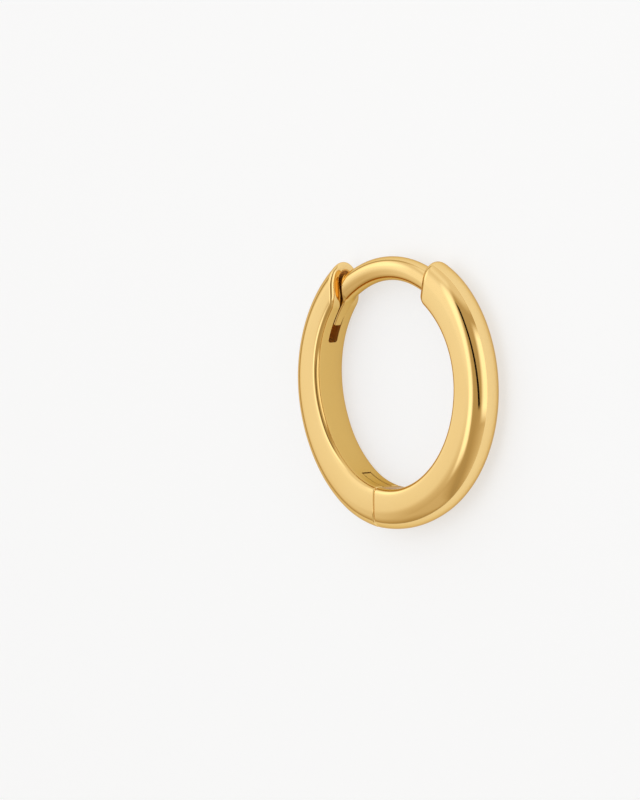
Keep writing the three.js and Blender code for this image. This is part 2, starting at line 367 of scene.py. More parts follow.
@dataclass(frozen=True)
class Hoop:
    """Sizes of the closed hoop, in millimetres, with angles in degrees."""

    radius: float = 6.24
    thickness: float = 1.8
    width: float = 1.7
    inner_edge: float = 0.28
    least_edge: float = 0.07
    side_swell: float = 0.05
    seam_angle: float = -98.7
    seam_lean: float = 0.34
    seam_gap: float = 0.024
    seam_round: float = 0.08
    seam_bend: float = 0.52
    seam_power: float = 1.6

    @property
    def bore(self) -> float:
        """Radius of the bore."""
        return self.radius - self.thickness

    def level(self, radius: Field | float) -> Field | float:
        """Level of a radius, 0 at the bore and 1 at the crown."""
        return (radius - self.bore) / self.thickness


@dataclass(frozen=True)
class HalfForm:
    """One half's radii from the seam to its open end, at even steps of angle.

    outer is a share of the hoop's radius and inner a share of its bore. clearance is how far the
    half stands back from the seam.
    """

    hoop: Hoop
    span: float
    outer: tuple[float, ...]
    inner: tuple[float, ...]
    clearance: float = 0.0

    def radii(self, angle: float) -> tuple[float, float]:
        """Outer and inner radius at an angle.

        Args:
            angle: The angle in degrees.

        Returns:
            The two radii.
        """
        share = (angle - self.hoop.seam_angle) / self.span
        outer = spline(self.outer, share) * self.hoop.radius
        return outer, spline(self.inner, share) * self.hoop.bore

    def fields(self, tree: Tree, angle: Field) -> tuple[Field, Field]:
        """Outer and inner radius in a node tree.

        Args:
            tree: The tree that reads the tables.
            angle: The angle in radians.

        Returns:
            The two radii as fields.
        """
        start = math.radians(self.hoop.seam_angle)
        share = (angle - start).math("DIVIDE", math.radians(self.span), clamp=True)
        outer = tree.table(self.outer, share) * self.hoop.radius
        inner = tree.table(self.inner, share) * self.hoop.bore
        return outer, inner

    def seam(self, radius: Field, _: Field) -> Field:
        """Angle of the half's face at the seam, which is upright near the bore, then leans back.

        Args:
            radius: Distance from the hoop's axis.

        Returns:
            The angle in radians.
        """
        outer = self.outer[0] * self.hoop.radius
        inner = self.inner[0] * self.hoop.bore
        bend = inner + self.hoop.seam_bend * (outer - inner)
        rise = radius.span(bend, outer)
        lean = rise ** self.hoop.seam_power * self.hoop.seam_lean
        reach = self.hoop.bore * math.sin(math.radians(-90.0 - self.hoop.seam_angle))
        return (reach / radius).arccos() - math.pi - lean / radius - self.clearance / radius


HOOP = Hoop()
FRONT_FORM = HalfForm(
    HOOP,
    165.2,
    outer=(1.034, 1.013, 1.001, 1.0, 1.0, 1.0, 1.0, 1.0, 1.0, 1.0, 0.997, 0.986),
    inner=(1.031, 1.026, 1.016, 1.006, 1.0, 0.998, 0.999, 1.004, 1.005, 1.0, 0.992, 0.987),
)
BACK_FORM = HalfForm(
    HOOP,
    -136.8,
    outer=(1.038, 1.045, 1.038, 1.028, 1.022, 1.022, 1.022, 1.0225, 1.025, 1.0275),
    inner=(1.031, 1.029, 1.017, 1.012, 1.012, 1.025, 1.044, 1.066, 1.086, 1.106),
    clearance=HOOP.seam_gap,
)

EndFace = Callable[[Field, Field], Field]


@dataclass
class BandHalf:
    """One half of the half-round band, made by a geometry node tree.

    The shares say which part of the grid makes the caps and rounded ends along the half, and the
    crown, the flat side and the inner edge round its section.
    """

    form: HalfForm
    name: str
    first_round: float
    last_round: float
    stations: int = 301
    points: int = 129
    cap_share: float = 0.03
    round_share: float = 0.05
    crown_share: float = 0.58
    side_share: float = 0.72
    corner_share: float = 0.84
    tree: Tree = field(init=False)

    def section(
        self, outer: Field, inner: Field, inset: Field, edge: Field, width: Field
    ) -> tuple[Field, Field]:
        """Radius and distance across of a point of the band's section.

        Args:
            outer: Radius of the crown.
            inner: Radius of the bore.
            inset: How far the section is drawn in.
            edge: Rounding of the inner edge.
            width: Width of the band.

        Returns:
            The radius, and the distance across on one side.
        """
        way = (self.tree.v * 2.0 - 1.0).math("ABSOLUTE")
        turn = way.span(0.0, self.crown_share) * QUARTER
        side = way.span(self.crown_share, self.side_share)
        corner = way.span(self.side_share, self.corner_share) * QUARTER
        flat = way.span(self.corner_share, 1.0)
        half = width * 0.5 - inset
        centre = outer - width * 0.5
        foot = inner + inset + edge
        radius = centre + half * turn.cos() - side * (centre - foot) - edge * corner.sin()
        across = half * turn.sin() - edge * (1.0 - corner.cos()) - flat * (half - edge)
        aside = (radius - (centre + foot) * 0.5) * (2.0 / HOOP.thickness)
        return radius, across * (1.0 - aside * aside * HOOP.side_swell)

    def make(self, first: EndFace, last: EndFace, skin: Material) -> Object:
        """Builds the half between two end faces.

        Args:
            first: Angle of the first end for a radius and a distance across.
            last: Angle of the last end, likewise.
            skin: Finish of the polished band.

        Returns:
            The half as a plain mesh in millimetres.
        """
        self.tree = Tree(self.name, self.stations, self.points)
        width = self.tree.size("Band Width", HOOP.width)
        edge_round = self.tree.size("Inner Edge Round", HOOP.inner_edge)
        first_round = self.tree.size("First End Round", self.first_round)
        last_round = self.tree.size("Last End Round", self.last_round)
        u = self.tree.u
        cap = self.cap_share
        end = cap + self.round_share
        squeeze = u.span(0.0, cap) * (1.0 - u).span(0.0, cap)
        first_turn = u.span(cap, end) * QUARTER
        last_turn = (1.0 - u).span(cap, end) * QUARTER
        share = u.span(end, 1.0 - end)
        first_offset = first_round * (1.0 - first_turn.cos())
        last_offset = last_round * (1.0 - last_turn.cos())
        inset = first_round * (1.0 - first_turn.sin()) + last_round * (1.0 - last_turn.sin())
        edge = (edge_round - inset).math("MAXIMUM", HOOP.least_edge)

        def angle_of(radius: Field, across: Field) -> Field:
            """Angle of a point of this station.

            Args:
                radius: The point's radius.
                across: Its distance across.

            Returns:
                The angle in radians.
            """
            start = first(radius, across) + first_offset / radius
            stop = last(radius, across) - last_offset / radius
            return mix(start, stop, share)

        middle = u * 0.0 + (HOOP.radius - HOOP.thickness / 2)
        angle = angle_of(middle, u * 0.0)
        for _ in range(2):
            outer, inner = self.form.fields(self.tree, angle)
            radius, across = self.section(outer, inner, inset, edge, width)
            across = across * squeeze
            angle = angle_of(radius, across)
        side = (self.tree.v - 0.5).math("SIGN")
        return grow(self.tree.close(Place(radius, across * side, angle)), skin)


def polar(radius: float, angle: float) -> Vector:
    """A point in the hoop's plane from its radius and its angle in degrees."""
    turn = math.radians(angle)
    return Vector((radius * math.cos(turn), radius * math.sin(turn), 0.0))


def arc_degrees(length: float, radius: float) -> float:
    """Angle in degrees that an arc of some length takes at a radius."""
    return math.degrees(length / radius)


Ring = Sequence[tuple[float, float, float]]


def solid(name: str, loops: Sequence[Sequence[Vector]], material: Material) -> Object:
    """A closed body through loops of points.

    Args:
        name: Name of the body.
        loops: Loops with the same number of points, the first and the last of which are closed.
        material: Finish of the body.

    Returns:
        The body in millimetres.
    """
    work = bmesh.new()
    rings = [[work.verts.new(point) for point in loop] for loop in loops]
    for here, beyond in zip(rings, rings[1:]):
        for index in range(len(here)):
            after = (index + 1) % len(here)
            work.faces.new((here[index], here[after], beyond[after], beyond[index]))
    work.faces.new(rings[0])
    work.faces.new(rings[-1])
    mesh = bpy.data.meshes.new(name)
    work.to_mesh(mesh)
    work.free()
    mesh.materials.append(material)
    return body_of(mesh)


def loft(name: str, rings: Sequence[Ring], material: Material) -> Object:
    """A closed body through sections that list one side, mirrored across the hoop's plane.

    Args:
        name: Name of the body.
        rings: Sections of radius, distance across and angle in degrees, crown side first.
        material: Finish of the body.

    Returns:
        The body in millimetres.
    """
    loops = []
    for ring in rings:
        both = [*ring, *[(radius, -across, angle) for radius, across, angle in reversed(ring)]]
        loops.append([polar(r, a) + Vector((0, 0, z)) for r, z, a in both])
    return solid(name, loops, material)


def prism(name: str, outline: Sequence[Vector], height: float, material: Material) -> Object:
    """A plate of even thickness about the hoop's middle plane.

    Args:
        name: Name of the plate.
        outline: Its outline in that plane.
        height: Its thickness.
        material: Its finish.

    Returns:
        The plate in millimetres.
    """
    lifts = Vector((0, 0, -height / 2)), Vector((0, 0, height / 2))
    return solid(name, [[point + lift for point in outline] for lift in lifts], material)


def join(body: Object, tool: Object, way: Join) -> None:
    """Adds a body to another, or cuts it out, and removes the tool.

    Args:
        body: The body that is kept.
        tool: The body that is added or cut out.
        way: Whether the tool is soldered on or cut out.
    """
    modifier = body.modifiers.new(tool.name, "BOOLEAN")
    modifier.operation = way.value
    modifier.solver = "EXACT"
    modifier.material_mode = "TRANSFER"
    modifier.object = tool
    depsgraph = bpy.context.evaluated_depsgraph_get()
    mesh = bpy.data.meshes.new_from_object(body.evaluated_get(depsgraph), depsgraph=depsgraph)
    body.modifiers.remove(modifier)
    body.data = mesh
    bpy.data.objects.remove(tool)


@dataclass(frozen=True)
class Catch:
    """The blunt ends of the halves, and the slot that takes the blade, in millimetres."""

    nose_reach: float = 2.04
    nose_lean: float = 0.36
    nose_dome: float = 0.16
    nose_round: float = 0.44
    reach: float = 3.45
    lean: float = -0.12
    round: float = 0.26
    gap: float = 0.055
    headroom: float = 0.22
    spare: float = 0.86
    mouth_round: float = 0.05
    flare: float = 0.13
    flare_depth: float = 1.0
    end_round: float = 0.12
    cutter_reach: float = 0.8
    floor_steps: int = 14
    depth_steps: int = 12

    def nose(self, radius: Field, across: Field) -> Field:
        """Angle of the front half's blunt end, which leans back and is slightly domed."""
        dome = (across * (2.0 / HOOP.width)) ** 2.0 * self.nose_dome
        return ((self.nose_reach + self.nose_lean * HOOP.level(radius) + dome) / radius).arccos()

    def end(self, radius: Field, _: Field) -> Field:
        """Angle of the back half's open end."""
        reach = self.reach - self.lean * HOOP.level(radius)
        return -math.pi - (reach / radius).arccos()

    def nose_degrees(self, radius: float) -> float:
        """Angle of the blunt end in degrees, at mid-width."""
        reach = self.nose_reach + self.nose_lean * HOOP.level(radius)
        return math.degrees(math.acos(reach / radius))

    def end_degrees(self, radius: float) -> float:
        """Angle of the open end in degrees, counted up from +X."""
        reach = self.reach - self.lean * HOOP.level(radius)
        return 180.0 - math.degrees(math.acos(reach / radius))


CATCH = Catch()


@dataclass
class EarPost:
    """The round post, whose tip is flattened to a blade, in millimetres.

    low and height are its form from the blunt end to the tip: the bore side's radius as a share
    of the bore, and the height as a share of the diameter. The shares after them say which part
    of the grid makes which part of the post: first along it, then round its section.
    """

    diameter: float = 1.05
    shoulder_length: float = 0.32
    shoulder_gap: float = 0.12
    blade_root: float = 0.52
    blade: float = 0.4
    blade_edge: float = 0.08
    blade_length: float = 1.36
    tip_round: float = 0.1
    solder_depth: float = 0.7
    low: tuple[float, ...] = (
        1.026, 1.026, 1.028, 1.031, 1.035, 1.041, 1.048, 1.058, 1.07, 1.066, 1.058,
    )
    height: tuple[float, ...] = (1.0, 1.0, 1.0, 1.0, 1.0, 1.0, 1.0, 1.0, 0.93, 0.89, 0.83)
    round_share: float = 0.5
    shoulder_share: float = 0.72
    blade_share: float = 0.9
    cap_share: float = 0.02
    flat_share: float = 0.05
    side_share: float = 0.4
    stations: int = 281
    points: int = 97

    @property
    def middle(self) -> float:
        """Radius of the post's centre line beside the blunt end."""
        return HOOP.bore + self.diameter / 2

    @property
    def start(self) -> float:
        """Angle in degrees at which the post leaves the front half."""
        return CATCH.nose_degrees(self.middle)

    @property
    def mouth(self) -> float:
        """Angle in degrees at which the post enters the catch."""
        return CATCH.end_degrees(self.middle)

    @property
    def tip(self) -> float:
        """Angle in degrees of the blade's tip."""
        return self.mouth + arc_degrees(self.blade_length, self.middle)

    def crown_at(self, angle: float) -> float:
        """Radius of the post's outer side at an angle in degrees."""
        share = (angle - self.start) / (self.tip - self.start)
        return spline(self.low, share) * HOOP.bore + spline(self.height, share) * self.diameter

    def make(self, skin: Material) -> Object:
        """Builds the post with its root inside the front half.

        Args:
            skin: Finish of the polished post.

        Returns:
            The post as a plain mesh in millimetres.
        """
        tree = Tree("ear_post", self.stations, self.points)
        diameter = tree.size("Post Diameter", self.diameter)
        blade_root = tree.size("Blade Root Thickness", self.blade_root)
        blade = tree.size("Blade Thickness", self.blade)
        tip_round = tree.size("Tip Round", self.tip_round)
        start = math.radians(self.start)
        tip = math.radians(self.tip)
        root = start - self.solder_depth / self.middle
        cap = self.cap_share
        round_run = tree.u.span(cap, self.round_share)
        shoulder = tree.u.span(self.round_share, self.shoulder_share)
        blade_run = tree.u.span(self.shoulder_share, self.blade_share)
        turn = tree.u.span(self.blade_share, 1.0 - cap) * QUARTER
        squeeze = tree.u.span(0.0, cap) * (1.0 - tree.u).span(0.0, cap)
        inset = tip_round * (1.0 - turn.cos())
        end = tip - tip_round * (1.0 - turn.sin()) / self.middle
        clearance = self.shoulder_gap + self.shoulder_length * (1.0 - shoulder)
        flatness = shoulder * shoulder * (3.0 - shoulder * 2.0)
        thickness = mix(diameter, mix(blade_root, blade, blade_run), flatness)
        edge = mix(thickness * 0.5, self.blade_edge, flatness)
        half = thickness * 0.5 - inset
        edge = edge.math("MINIMUM", half)
        way = (tree.v * 2.0 - 1.0).math("ABSOLUTE")
        flat_top = way.span(0.0, self.flat_share)
        upper = way.span(self.flat_share, self.side_share) * QUARTER
        side = way.span(self.side_share, 1.0 - self.side_share)
        lower = way.span(1.0 - self.side_share, 1.0 - self.flat_share) * QUARTER
        flat_foot = way.span(1.0 - self.flat_share, 1.0)

        def angle_of(radius: Field) -> Field:
            """Angle of a point of this station: the shoulder runs along the catch's open end."""
            face = CATCH.end(radius, radius) + 2 * math.pi - clearance / radius
            return mix(mix(root, face, round_run), end, blade_run)

        angle = angle_of(tree.u * 0.0 + self.middle)
        for _ in range(2):
            share = (angle - start).math("DIVIDE", tip - start, clamp=True)
            low = tree.table(self.low, share) * HOOP.bore
            top = low + tree.table(self.height, share) * diameter - inset
            tall = top - low - inset - edge * 2.0
            radius = top - edge * (1.0 - upper.cos()) - side * tall - edge * lower.sin()
            angle = angle_of(radius)
        across = (half - edge) * flat_top + edge * upper.sin()
        across = across - edge * (1.0 - lower.cos()) - (half - edge) * flat_foot
        across = across * squeeze * (tree.v - 0.5).math("SIGN")
        return grow(tree.close(Place(radius, across, angle)), skin)

    def slot_cutter(self, cut: Material) -> Object:
        """Cutter for the catch slot: open to the bore and to the open end, with a rounded mouth.

        Args:
            cut: Finish of the slot's walls.

        Returns:
            The cutter in millimetres.
        """
        slot_half = self.blade / 2 + CATCH.gap
        wide = slot_half + CATCH.flare
        centre = self.crown_at(self.mouth) + CATCH.headroom - self.blade_root / 2 - CATCH.gap
        end = self.tip + arc_degrees(CATCH.spare, self.middle)

        def side(half: float) -> list[tuple[float, float, float]]:
            """One side of the section, from the round floor to past the bore.

            Args:
                half: Half the slot's width.

            Returns:
                Each point's radius, distance across, and radius at which it meets an end face.
            """
            count = CATCH.floor_steps
            degrees = [90 * (2 * step + 1) / (2 * count - 1) for step in range(count)]
            turns = [math.radians(turn) for turn in degrees]
            arc = [(centre + half * math.cos(t), half * math.sin(t)) for t in turns]
            line = [*arc, (HOOP.bore - CATCH.cutter_reach, half)]
            return [(radius, across, max(radius, HOOP.bore)) for radius, across in line]

        def mouth_ring(depth: float, half: float) -> Ring:
            """A section at a depth behind the open end."""
            return [(r, z, CATCH.end_degrees(n) + arc_degrees(depth, n)) for r, z, n in side(half)]

        def end_ring(short: float, half: float) -> Ring:
            """A section short of the slot's far end."""
            return [(r, z, end - arc_degrees(short, n)) for r, z, n in side(half)]

        turns = [QUARTER * step / CATCH.depth_steps for step in range(CATCH.depth_steps + 1)]
        shares = [step / CATCH.depth_steps for step in range(1, CATCH.depth_steps + 1)]
        lip, corner = CATCH.mouth_round, CATCH.end_round
        rings = [mouth_ring(-CATCH.cutter_reach, wide + lip)]
        rings += [
            mouth_ring(lip * (1 - math.cos(t)), wide + lip * (1 - math.sin(t))) for t in turns
        ]
        rings += [
            mouth_ring(lip + (CATCH.flare_depth - lip) * s, slot_half + CATCH.flare * (1 - s) ** 2)
            for s in shares
        ]
        rings += [
            end_ring(corner * (1 - math.sin(t)), slot_half - corner * (1 - math.cos(t)))
            for t in turns
        ]
        return loft("catch_slot", rings, cut)


POST = EarPost()


@dataclass
class Hinge:
    """The tongue of the front half, its slot in the back half and the pin, in millimetres."""

    tongue_width: float = 0.44
    tongue_length: float = 1.47
    tongue_tip: float = 0.46
    side_gap: float = 0.04
    end_gap: float = 0.08
    recess: float = 0.03
    bore_recess: float = 0.008
    pin_diameter: float = 0.42
    pin_length: float = 0.96
    pin_depth: float = 0.55
    pin_gap: float = 0.03
    pin_end_gap: float = 0.04
    solder_depth: float = 0.7
    cutter_reach: float = 0.8
    steps: int = 24

    @property
    def end_angle(self) -> float:
        """Angle in degrees of the tongue's far end at the bore."""
        bore = BACK_FORM.radii(HOOP.seam_angle)[1]
        return HOOP.seam_angle - arc_degrees(self.tongue_length, bore)

    @property
    def pin_radial(self) -> float:
        """Distance of the pin from the hoop's axis."""
        angle = self.end_angle + arc_degrees(self.tongue_tip, HOOP.radius)
        return BACK_FORM.radii(angle)[0] - self.pin_depth

    @property
    def pin_angle(self) -> float:
        """Angle of the pin in degrees."""
        return self.end_angle + arc_degrees(self.tongue_tip, self.pin_radial)

    def tongue(self, skin: Material) -> Object:
        """The tongue, flush with the back half's bore, its far end round about the pin.

        Args:
            skin: Finish of the tongue.

        Returns:
            The tongue in millimetres.
        """
        root = HOOP.seam_angle + arc_degrees(self.solder_depth, HOOP.radius)
        end = self.end_angle
        pin = polar(self.pin_radial, self.pin_angle)
        reach = self.pin_radial * math.sin(math.radians(self.pin_angle - end))

        def inner(angle: float) -> float:
            """Radius of the tongue's bore side.

            Args:
                angle: The angle in degrees.

            Returns:
                The radius, just short of the bore of the half that it crosses.
            """
            if angle > HOOP.seam_angle:
                return FRONT_FORM.radii(angle)[1] + self.recess
            return BACK_FORM.radii(angle)[1] + self.bore_recess

        def outer(angle: float) -> float:
            """Radius of the tongue's crown side."""
            return min(BACK_FORM.radii(angle)[0], FRONT_FORM.radii(angle)[0]) - self.recess

        crown = outer(self.pin_angle)
        cosine = (crown**2 - self.pin_radial**2 - reach**2) / (2 * self.pin_radial * reach)
        arc_end = self.pin_angle - math.degrees(math.acos(min(1.0, cosine)))
        outline = []
        for step in range(self.steps + 1):
            angle = root + (end - root) * step / self.steps
            outline.append(polar(inner(angle), angle))
        for step in range(self.steps + 1):
            angle = end - 90 + (arc_end - end + 90) * step / self.steps
            outline.append(pin + polar(reach, angle))
        meeting = math.degrees(math.atan2(outline[-1].y, outline[-1].x))
        for step in range(1, self.steps + 1):
            angle = meeting + (root - meeting) * step / self.steps
            outline.append(polar(outer(angle), angle))
        return prism("hinge_tongue", outline, self.tongue_width, skin)

    def slot_cutter(self, cut: Material) -> Object:
        """Cutter for the hinge slot, right through the band from the seam to its end wall.

        Args:
            cut: Finish of the slot's walls.

        Returns:
            The cutter in millimetres.
        """
        half = self.tongue_width / 2 + self.side_gap
        end = self.end_angle - arc_degrees(self.end_gap, HOOP.bore)
        mouth = HOOP.seam_angle + arc_degrees(self.cutter_reach, HOOP.radius)
        high = HOOP.radius + self.cutter_reach
        low = HOOP.bore - self.cutter_reach
        rings = [[(high, half, angle), (low, half, angle)] for angle in (end, mouth)]
        return loft("hinge_slot", rings, cut)

    def rod(self, name: str, radius: float, length: float, material: Material) -> Object:
        """A round rod on the pin's axis.

        Args:
            name: Name of the rod.
            radius: Its radius.
            length: Its length.
            material: Its finish.

        Returns:
            The rod in millimetres.
        """
        centre = polar(self.pin_radial, self.pin_angle)
        turns = [180 * step / self.steps for step in range(2 * self.steps)]
        return prism(name, [centre + polar(radius, turn) for turn in turns], length, material)

    def bore_cutter(self, cut: Material) -> Object:
        """Cutter for the pin's hole."""
        length = self.pin_length + 2 * self.pin_end_gap
        return self.rod("pin_hole", self.pin_diameter / 2 + self.pin_gap, length, cut)

    def pin(self, wire: Material) -> Object:
        """The hidden hinge pin."""
        return self.rod("pin_wire", self.pin_diameter / 2, self.pin_length, wire)


HINGE = Hinge()


def hoop_centre() -> Vector:
    """Place of the hoop's centre in the part's frame, in metres."""
    low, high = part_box("hinge_pin")
    return (Vector(low) + Vector(high)) / 2 - polar(HINGE.pin_radial, HINGE.pin_angle) * MM


def vector_math(tree: NodeTree, operation: str, *values: Field | Value) -> Node:
    """Adds a Vector Math node to a tree.

    Args:
        tree: The node tree.
        operation: Name of the node's operation.
        values: The node's inputs.

    Returns:
        The node.
    """
    node = tree.nodes.new("ShaderNodeVectorMath")
    node.operation = operation
    for index, value in enumerate(values):
        feed(node.inputs[index], value)
    return node


def mix_colours(tree: NodeTree, method: str, share: Field, first: Field | Value,
                last: Field | Value) -> Field:
    """Adds a Mix Color node to a tree.

    Args:
        tree: The node tree.
        method: Name of the node's blend type.
        share: How much of the last colour is mixed in.
        first: The first colour.
        last: The last colour.

    Returns:
        The mixed colour.
    """
    node = tree.nodes.new("ShaderNodeMix")
    node.data_type = "RGBA"
    node.blend_type = method
    for label, value in (("Factor", share), ("A", first), ("B", last)):
        feed(node.inputs[label], value)
    return Field(node.outputs["Result"])


@dataclass
class Effect:
    """A shader group under construction, with the kinds of its inputs and outputs by name."""

    name: str
    inputs: dict[str, str]
    outputs: dict[str, str]
    tree: NodeTree = field(init=False)
    entry: Node = field(init=False)
    leave: Node = field(init=False)
    place: Node = field(init=False)

    def __post_init__(self) -> None:
        """Makes the group's interface and its first nodes."""
        self.tree = bpy.data.node_groups.new(self.name, "ShaderNodeTree")
        for way, sockets in (("INPUT", self.inputs), ("OUTPUT", self.outputs)):
            for label, kind in sockets.items():
                socket_type = "NodeSocket" + kind
                self.tree.interface.new_socket(label, in_out=way, socket_type=socket_type)
        self.entry = self.tree.nodes.new("NodeGroupInput")
        self.leave = self.tree.nodes.new("NodeGroupOutput")
        self.place = self.tree.nodes.new("ShaderNodeTexCoord")

    def __getitem__(self, label: str) -> Field:
        """An input of the group."""
        return Field(self.entry.outputs[label])

    def noise(self, vector: NodeSocket, scale: Field | float, detail: float) -> Field:
        """Adds a noise to the group.

        Args:
            vector: Where the noise is read.
            scale: Its scale.
            detail: Its detail.

        Returns:
            The noise, about 0 to 1.
        """
        node = self.tree.nodes.new("ShaderNodeTexNoise")
        feed(node.inputs["Vector"], Field(vector))
        feed(node.inputs["Scale"], scale)
        feed(node.inputs["Detail"], detail)
        return Field(node.outputs["Fac"])

    def give(self, **results: Field) -> NodeTree:
        """Links results to the outputs of the same names and returns the finished group."""
        for label, result in results.items():
            feed(self.leave.inputs[label], result)
        return self.tree


@dataclass(frozen=True)
class Polish:
    """The marks of polishing and handling, shared by every metal of the earring."""

    cloud_scale: float = 420.0
    cloud_detail: float = 3.0
    line_detail: float = 2.0
    line_stretch: float = 0.08

    def make(self) -> NodeTree:
        """Builds the shader group.

        Returns:
            A group that puts out a colour, a roughness and a height.
        """
        effect = Effect(
            "polish_marks",
            {
                "Tone": "Color", "Warm Tone": "Color",
                "Roughness": "Float", "Haze": "Float", "Line Scale": "Float",
            },
            {"Colour": "Color", "Roughness": "Float", "Height": "Float"},
        )
        place = effect.place.outputs["Object"]
        cloud = effect.noise(place, self.cloud_scale, self.cloud_detail)
        stretch = effect.tree.nodes.new("ShaderNodeMapping")
        stretch.inputs["Scale"].default_value = (1.0, 1.0, self.line_stretch)
        feed(stretch.inputs["Vector"], Field(place))
        lines = effect.noise(stretch.outputs[0], effect["Line Scale"], self.line_detail)
        haze = effect["Haze"]
        return effect.give(
            Colour=mix_colours(effect.tree, "MIX", cloud, effect["Tone"], effect["Warm Tone"]),
            Roughness=effect["Roughness"] + lines * haze + cloud * haze,
            Height=lines,
        )


@dataclass(frozen=True)
class PaintedBoreShade:
    """Painted shade: a deeper colour on surfaces that face the middle of the hoop.

    It starts where the cosine between the surface and the way to the hoop's axis is start.
    """

    start: float = 0.6

    def make(self) -> NodeTree:
        """Builds the shader group.

        Returns:
            A group that paints shade into a colour by how squarely the surface faces the hoop's
            axis.
        """
        effect = Effect(
            "bore_depth",
            {"Colour": "Color", "Deep Tint": "Color", "Hoop Centre": "Vector"},
            {"Colour": "Color"},
        )
        tree, place = effect.tree, Field(effect.place.outputs["Object"])
        inward = vector_math(tree, "SUBTRACT", effect["Hoop Centre"], place)
        level = vector_math(tree, "MULTIPLY", Field(inward.outputs[0]), (1.0, 1.0, 0.0))
        unit = vector_math(tree, "NORMALIZE", Field(level.outputs[0]))
        normal = Field(effect.place.outputs["Normal"])
        cosine = vector_math(tree, "DOT_PRODUCT", Field(unit.outputs[0]), normal)
        # Painted shade: the colour is darkened where the surface faces the hoop's axis.
        share = Field(cosine.outputs["Value"]).span(self.start, 1.0)
        tint = effect["Deep Tint"]
        return effect.give(Colour=mix_colours(tree, "MULTIPLY", share, effect["Colour"], tint))


@dataclass(frozen=True)
class Metal:
    """A gold-toned metal with its polish. Colours are linear, lengths in metres."""

    name: str
    tone: tuple[float, float, float]
    warm_tone: tuple[float, float, float]
    roughness: float
    haze: float
    line_scale: float
    line_depth: float
    line_strength: float = 0.2
    edge_tint: tuple[float, float, float] = WHITE
    # Painted shade multiplied into surfaces that face the hoop's axis.
    painted_shade_tint: tuple[float, float, float] = WHITE

    def make(self, polish: NodeTree, bore: NodeTree) -> Material:
        """Builds the material.

        Args:
            polish: The shared group of polishing marks.
            bore: The shared group of the bore's painted shade.

        Returns:
            The material.
        """
        material = bpy.data.materials.new(self.name)
        material.use_nodes = True
        nodes, links = material.node_tree.nodes, material.node_tree.links
        shader = nodes["Principled BSDF"]
        shader.inputs["Metallic"].default_value = 1.0
        shader.inputs["Specular Tint"].default_value = (*self.edge_tint, 1.0)
        marks = nodes.new("ShaderNodeGroup")
        marks.node_tree = polish
        for label, value in (
            ("Tone", (*self.tone, 1.0)), ("Warm Tone", (*self.warm_tone, 1.0)),
            ("Roughness", self.roughness), ("Haze", self.haze), ("Line Scale", self.line_scale),
        ):
            marks.inputs[label].default_value = value
        bump = nodes.new("ShaderNodeBump")
        bump.inputs["Strength"].default_value = self.line_strength
        bump.inputs["Distance"].default_value = self.line_depth
        # Painted shade: darkens the colour of surfaces inside the bore.
        depth = nodes.new("ShaderNodeGroup")
        depth.node_tree = bore
        depth.inputs["Deep Tint"].default_value = (*self.painted_shade_tint, 1.0)
        depth.inputs["Hoop Centre"].default_value = hoop_centre()
        links.new(marks.outputs["Colour"], depth.inputs["Colour"])
        links.new(depth.outputs["Colour"], shader.inputs["Base Color"])
        links.new(marks.outputs["Roughness"], shader.inputs["Roughness"])
        links.new(marks.outputs["Height"], bump.inputs["Height"])
        links.new(bump.outputs["Normal"], shader.inputs["Normal"])
        return material


# The polished gold's bore tint is painted shade inside the hoop.
POLISHED_GOLD = Metal(
    "polished_gold", (0.93, 0.675, 0.3), (0.91, 0.64, 0.26), 0.05, 0.025, 9000.0, 0.000001,
    edge_tint=(0.72, 0.56, 0.36), painted_shade_tint=(0.8, 0.73, 0.52),
)
SAWN_GOLD = Metal(
    "sawn_gold", (0.92, 0.63, 0.25), (0.88, 0.56, 0.19), 0.32, 0.14, 14000.0, 0.00001
)
DRAWN_WIRE = Metal(
    "drawn_wire", (0.74, 0.55, 0.27), (0.68, 0.5, 0.24), 0.22, 0.08, 12000.0, 0.000006
)


@dataclass
class Earring:
    """The earring's pieces, placed in the part's frame."""

    skin: Material
    cut: Material
    wire: Material
    smooth_angle: float = 32.0

    def settle(self, piece: Object, name: str, body: Body, node: str) -> Object:
        """Moves a piece's mesh to the part's frame, hides the node that it stands for and hangs
        the piece on its body.

        Args:
            piece: The piece, in millimetres about the hoop's centre.
            name: Its final name.
            body: The body that it moves with.
            node: The node that it stands for.

        Returns:
            The finished piece.
        """
        mesh = piece.data
        mesh.transform(Matrix.Translation(hoop_centre()) @ Matrix.Scale(MM, 4))
        mesh.shade_smooth()
        mesh.set_sharp_from_angle(angle=math.radians(self.smooth_angle))
        mesh.name = name
        piece.name = name
        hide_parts(node)
        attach(piece, body.value)
        log.info("%s: %d faces, rides on %s", name, len(mesh.polygons), body.value)
        return piece

    def back_half(self) -> Object:
        """The back half of the band, with the catch slot, the hinge slot and the pin's hole.

        Returns:
            The finished half.
        """
        half = BandHalf(BACK_FORM, "band_back", CATCH.round, HOOP.seam_round)
        body = half.make(CATCH.end, BACK_FORM.seam, self.skin)
        for cutter in (POST.slot_cutter, HINGE.slot_cutter, HINGE.bore_cutter):
            join(body, cutter(self.cut), Join.CUT)
        return self.settle(body, "band_back", Body.BACK, "hoop_back")

    def front_half(self) -> Object:
        """The front half of the band, with its ear post and hinge tongue soldered in.

        Returns:
            The finished half.
        """
        half = BandHalf(FRONT_FORM, "band_front", HOOP.seam_round, CATCH.nose_round)
        body = half.make(FRONT_FORM.seam, CATCH.nose, self.skin)
        join(body, POST.make(self.skin), Join.SOLDER)
        join(body, HINGE.tongue(self.skin), Join.SOLDER)
        join(body, HINGE.bore_cutter(self.cut), Join.CUT)
        return self.settle(body, "band_front", Body.FRONT, "hoop_front")

    def pin(self) -> Object:
        """The hidden hinge pin."""
        body = HINGE.pin(self.wire)
        return self.settle(body, "pin_wire", Body.BACK, "hinge_pin")


@dataclass(frozen=True)
class Panel:
    """A soft light, which shows in no reflection.

    Its place is given as seen from the camera with the hoop upright: degrees to the right of the
    camera and degrees up, with its own width and height in degrees.
    """

    name: str
    around: float
    above: float
    width: float
    height: float
    brightness: float
    distance: float = 0.12


